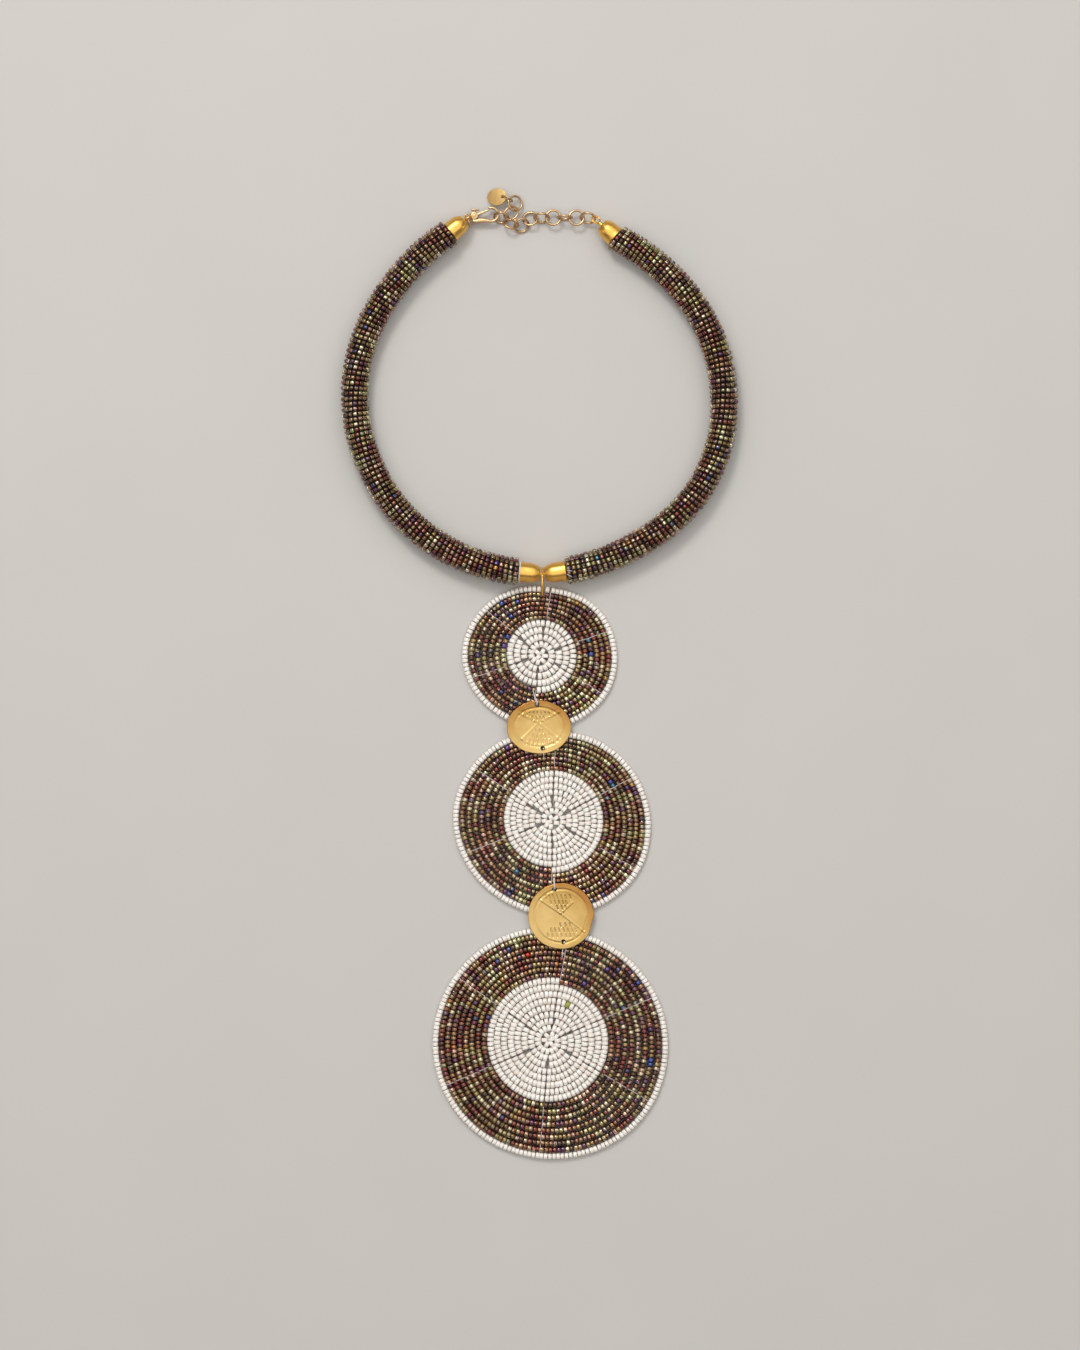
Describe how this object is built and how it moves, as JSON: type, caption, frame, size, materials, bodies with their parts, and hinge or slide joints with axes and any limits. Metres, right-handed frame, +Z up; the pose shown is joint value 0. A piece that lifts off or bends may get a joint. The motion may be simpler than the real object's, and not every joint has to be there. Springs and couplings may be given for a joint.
{
  "type": "beaded collar necklace",
  "caption": "Beaded rope collar with gold end caps and a clasp chain, carrying a drop of round beaded discs joined by stamped medallions.",
  "frame": {"origin": "centre of the part's outline in X and Y, on the surface that it lies on", "axes": "+Y from the lowest disc to the clasp, +Z up out of the surface, +X to the right with the clasp at the top"},
  "size_m": [0.1375, 0.3346, 0.01],
  "materials": {
    "iris_beads": "glossy iris glass seed beads",
    "white_beads": "pearly white glass seed beads",
    "cap_gold": "polished rich gold plating",
    "chain_gold": "polished pale gold plating",
    "medallion_gold": "satin gold stamping"
  },
  "bodies": {
    "root": {"rope_left": "iris_beads", "rope_right": "iris_beads", "cap_front_left": "cap_gold", "cap_front_right": "cap_gold", "cap_back_left": "cap_gold", "cap_back_right": "cap_gold", "core_wire": "cap_gold", "pendant_ring": "cap_gold", "disc_1_centre": "white_beads", "disc_1_band": "iris_beads", "disc_1_rim": "white_beads", "disc_2_centre": "white_beads", "disc_2_band": "iris_beads", "disc_2_rim": "white_beads", "disc_3_centre": "white_beads", "disc_3_band": "iris_beads", "disc_3_rim": "white_beads", "medallion_1": "medallion_gold", "medallion_2": "medallion_gold", "link_1": "chain_gold", "link_2": "chain_gold", "link_3": "chain_gold", "link_4": "chain_gold", "link_5": "chain_gold", "link_6": "chain_gold", "link_7": "chain_gold", "link_8": "chain_gold", "link_9": "chain_gold", "link_10": "chain_gold", "link_11": "chain_gold", "tag_ring": "chain_gold", "tag": "chain_gold", "clasp_ring": "chain_gold", "clasp_body": "chain_gold"},
    "clasp_lever": {"clasp_lever": "chain_gold"}
  },
  "joints": [
    {"name": "clasp_lever_pivot", "type": "hinge", "parent": "root", "child": "clasp_lever", "pos_m": [-0.02225, 0.1577, 0.0025], "axis": [0, 0, -1], "range_deg": [0, 22], "stiffness_Nm_per_rad": 0.003}
  ]
}
